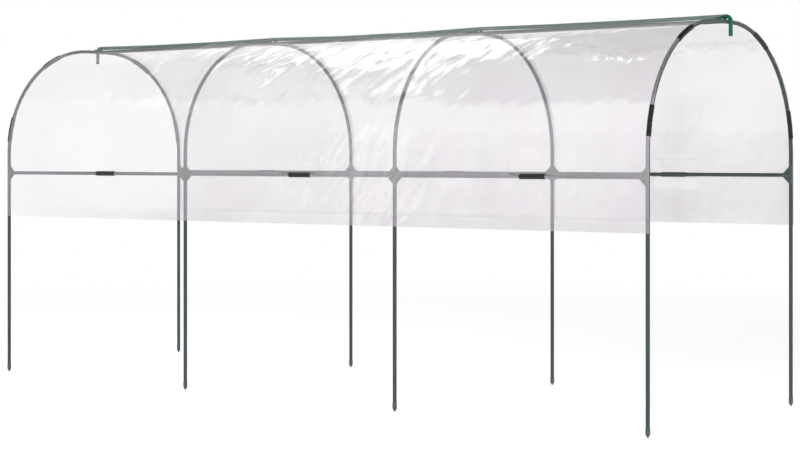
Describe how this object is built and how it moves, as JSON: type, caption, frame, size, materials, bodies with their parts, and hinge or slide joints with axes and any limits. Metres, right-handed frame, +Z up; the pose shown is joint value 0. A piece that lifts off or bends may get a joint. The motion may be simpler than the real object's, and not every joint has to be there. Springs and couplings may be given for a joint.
{
  "type": "tunnel greenhouse",
  "caption": "Walk-over growing tunnel: bent tube hoops on pointed stakes, plug-in connectors and rails, clear film cover held by press-on clips.",
  "frame": {"origin": "on the ground under the middle of the tunnel", "axes": "+X along the tunnel, +Y across it towards the far side, +Z up"},
  "size_m": [3.5066, 1.1408, 1.5468],
  "materials": {
    "coated_tube": "dark green plastic-coated steel tube, satin",
    "moulded_green": "moulded grey-green plastic",
    "ridge_bar_coating": "vivid green plastic-coated steel tube",
    "clip_black": "moulded black plastic",
    "film": "clear polyethylene film, slightly milky"
  },
  "bodies": {
    "frame": {"stake_near_1": "coated_tube", "stake_far_1": "coated_tube", "stake_near_2": "coated_tube", "stake_far_2": "coated_tube", "stake_near_3": "coated_tube", "stake_far_3": "coated_tube", "stake_near_4": "coated_tube", "stake_far_4": "coated_tube", "hoop_tube_near_1": "coated_tube", "hoop_tube_far_1": "coated_tube", "hoop_tube_near_2": "coated_tube", "hoop_tube_far_2": "coated_tube", "hoop_tube_near_3": "coated_tube", "hoop_tube_far_3": "coated_tube", "hoop_tube_near_4": "coated_tube", "hoop_tube_far_4": "coated_tube", "side_rail_near_1": "coated_tube", "side_rail_near_2": "coated_tube", "side_rail_near_3": "coated_tube", "side_rail_far_1": "coated_tube", "side_rail_far_2": "coated_tube", "side_rail_far_3": "coated_tube", "ridge_rail_1": "coated_tube", "ridge_rail_2": "coated_tube", "ridge_rail_3": "coated_tube", "side_connector_near_1": "moulded_green", "side_connector_near_2": "moulded_green", "side_connector_near_3": "moulded_green", "side_connector_near_4": "moulded_green", "side_connector_far_1": "moulded_green", "side_connector_far_2": "moulded_green", "side_connector_far_3": "moulded_green", "side_connector_far_4": "moulded_green", "ridge_connector_1": "moulded_green", "ridge_connector_2": "moulded_green", "ridge_connector_3": "moulded_green", "ridge_connector_4": "moulded_green", "ridge_bar": "ridge_bar_coating", "film_cover": "film"},
    "hoop_clip_low_near_1": {"hoop_clip_low_near_1": "clip_black"},
    "hoop_clip_low_far_4": {"hoop_clip_low_far_4": "clip_black"},
    "hoop_clip_low_near_4": {"hoop_clip_low_near_4": "clip_black"},
    "hoop_clip_low_far_1": {"hoop_clip_low_far_1": "clip_black"},
    "hoop_clip_high_near_1": {"hoop_clip_high_near_1": "clip_black"},
    "hoop_clip_high_far_4": {"hoop_clip_high_far_4": "clip_black"},
    "hoop_clip_high_near_4": {"hoop_clip_high_near_4": "clip_black"},
    "hoop_clip_high_far_1": {"hoop_clip_high_far_1": "clip_black"},
    "rail_clip_near_1": {"rail_clip_near_1": "clip_black"},
    "rail_clip_near_2": {"rail_clip_near_2": "clip_black"},
    "rail_clip_near_3": {"rail_clip_near_3": "clip_black"},
    "rail_clip_far_1": {"rail_clip_far_1": "clip_black"},
    "rail_clip_far_2": {"rail_clip_far_2": "clip_black"},
    "rail_clip_far_3": {"rail_clip_far_3": "clip_black"}
  },
  "joints": [
    {"name": "hoop_clip_low_near_1_pull", "type": "slide", "parent": "frame", "child": "hoop_clip_low_near_1", "axis": [-1, 0, 0], "range_m": [0, 0.04]},
    {"name": "hoop_clip_low_far_4_pull", "type": "slide", "parent": "frame", "child": "hoop_clip_low_far_4", "axis": [1, 0, 0], "range_m": [0, 0.04]},
    {"name": "hoop_clip_low_near_4_pull", "type": "slide", "parent": "frame", "child": "hoop_clip_low_near_4", "axis": [1, 0, 0], "range_m": [0, 0.04]},
    {"name": "hoop_clip_low_far_1_pull", "type": "slide", "parent": "frame", "child": "hoop_clip_low_far_1", "axis": [-1, 0, 0], "range_m": [0, 0.04]},
    {"name": "hoop_clip_high_near_1_pull", "type": "slide", "parent": "frame", "child": "hoop_clip_high_near_1", "axis": [-1, 0, 0], "range_m": [0, 0.04]},
    {"name": "hoop_clip_high_far_4_pull", "type": "slide", "parent": "frame", "child": "hoop_clip_high_far_4", "axis": [1, 0, 0], "range_m": [0, 0.04]},
    {"name": "hoop_clip_high_near_4_pull", "type": "slide", "parent": "frame", "child": "hoop_clip_high_near_4", "axis": [1, 0, 0], "range_m": [0, 0.04]},
    {"name": "hoop_clip_high_far_1_pull", "type": "slide", "parent": "frame", "child": "hoop_clip_high_far_1", "axis": [-1, 0, 0], "range_m": [0, 0.04]},
    {"name": "rail_clip_near_1_pull", "type": "slide", "parent": "frame", "child": "rail_clip_near_1", "axis": [0, -1, 0], "range_m": [0, 0.04]},
    {"name": "rail_clip_near_2_pull", "type": "slide", "parent": "frame", "child": "rail_clip_near_2", "axis": [0, -1, 0], "range_m": [0, 0.04]},
    {"name": "rail_clip_near_3_pull", "type": "slide", "parent": "frame", "child": "rail_clip_near_3", "axis": [0, -1, 0], "range_m": [0, 0.04]},
    {"name": "rail_clip_far_1_pull", "type": "slide", "parent": "frame", "child": "rail_clip_far_1", "axis": [0, 1, 0], "range_m": [0, 0.04]},
    {"name": "rail_clip_far_2_pull", "type": "slide", "parent": "frame", "child": "rail_clip_far_2", "axis": [0, 1, 0], "range_m": [0, 0.04]},
    {"name": "rail_clip_far_3_pull", "type": "slide", "parent": "frame", "child": "rail_clip_far_3", "axis": [0, 1, 0], "range_m": [0, 0.04]}
  ]
}
